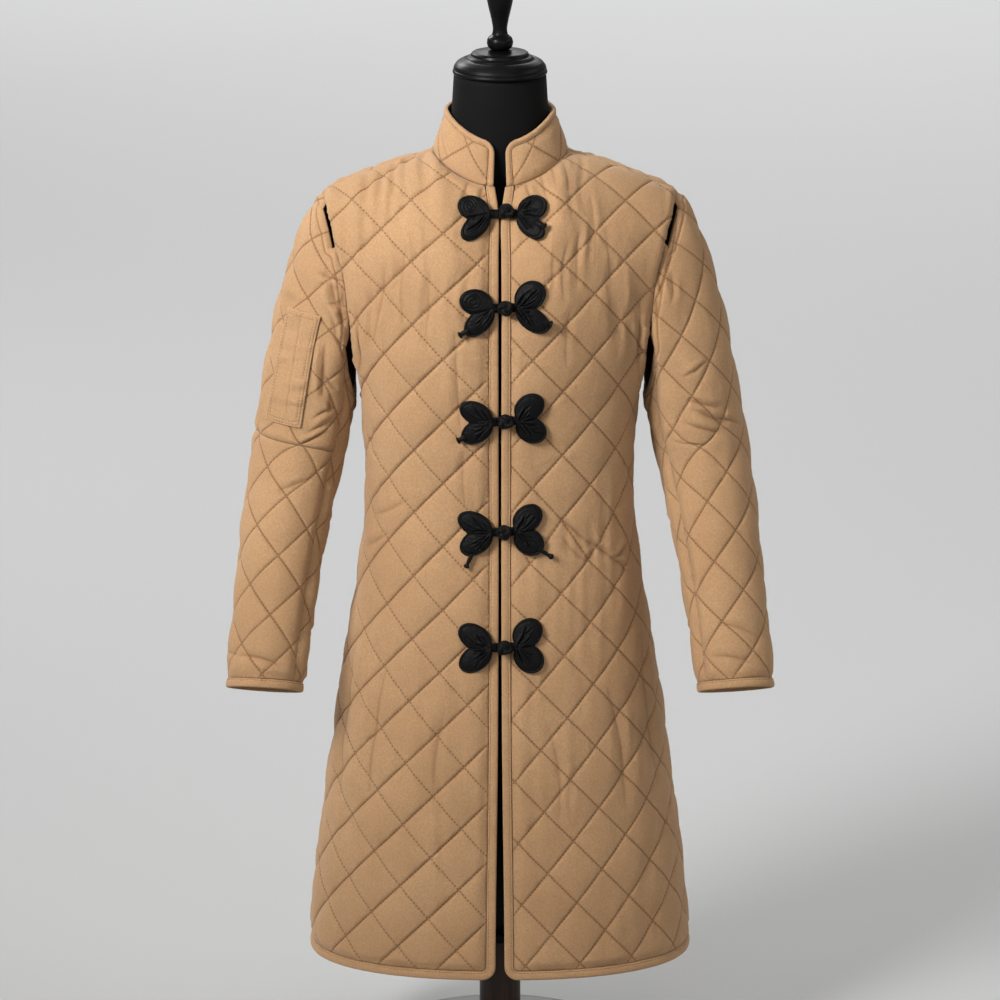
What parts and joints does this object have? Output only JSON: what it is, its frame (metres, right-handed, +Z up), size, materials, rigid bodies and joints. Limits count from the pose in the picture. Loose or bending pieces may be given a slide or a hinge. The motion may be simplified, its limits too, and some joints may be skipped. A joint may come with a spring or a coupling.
{
  "type": "gambeson on dress form",
  "caption": "Quilted knee-length gambeson with stand collar, open armpits and frog closures, hanging on a limbless dress form whose round-based stand carries it on a floor.",
  "frame": {"origin": "middle of the base plate's underside, on the floor", "axes": "+Z up along the post; the wearer faces -Y; +X is the wearer's left"},
  "size_m": [0.71, 0.336, 1.4616],
  "materials": {
    "gambeson_cloth": "matt quilted cotton",
    "binding_cloth": "matt cotton tape",
    "frog_cord": "matt black cloth",
    "form_jersey": "matt black jersey",
    "form_gloss": "glossy black lacquer",
    "column_wood": "dark brown satin",
    "base_metal": "satin grey"
  },
  "bodies": {
    "root": {"front_left": "gambeson_cloth", "front_right": "gambeson_cloth", "back": "gambeson_cloth", "collar": "gambeson_cloth", "sleeve_upper_left": "gambeson_cloth", "sleeve_under_left": "gambeson_cloth", "sleeve_upper_right": "gambeson_cloth", "sleeve_under_right": "gambeson_cloth", "binding_front_left": "binding_cloth", "binding_front_right": "binding_cloth", "binding_back_hem": "binding_cloth", "binding_collar": "binding_cloth", "cuff_binding_left": "binding_cloth", "cuff_binding_right": "binding_cloth", "arm_pocket": "binding_cloth", "frog_1_left": "frog_cord", "frog_1_right": "frog_cord", "frog_1_knot": "frog_cord", "frog_2_left": "frog_cord", "frog_2_right": "frog_cord", "frog_2_knot": "frog_cord", "frog_3_left": "frog_cord", "frog_3_right": "frog_cord", "frog_3_knot": "frog_cord", "frog_4_left": "frog_cord", "frog_4_right": "frog_cord", "frog_4_knot": "frog_cord", "frog_5_left": "frog_cord", "frog_5_right": "frog_cord", "frog_5_knot": "frog_cord", "form_torso": "form_jersey", "neck_cap": "form_gloss", "finial": "form_gloss", "post_tube": "form_gloss", "post_collar": "form_gloss", "post_column": "column_wood", "base_plate": "base_metal"}
  },
  "joints": []
}
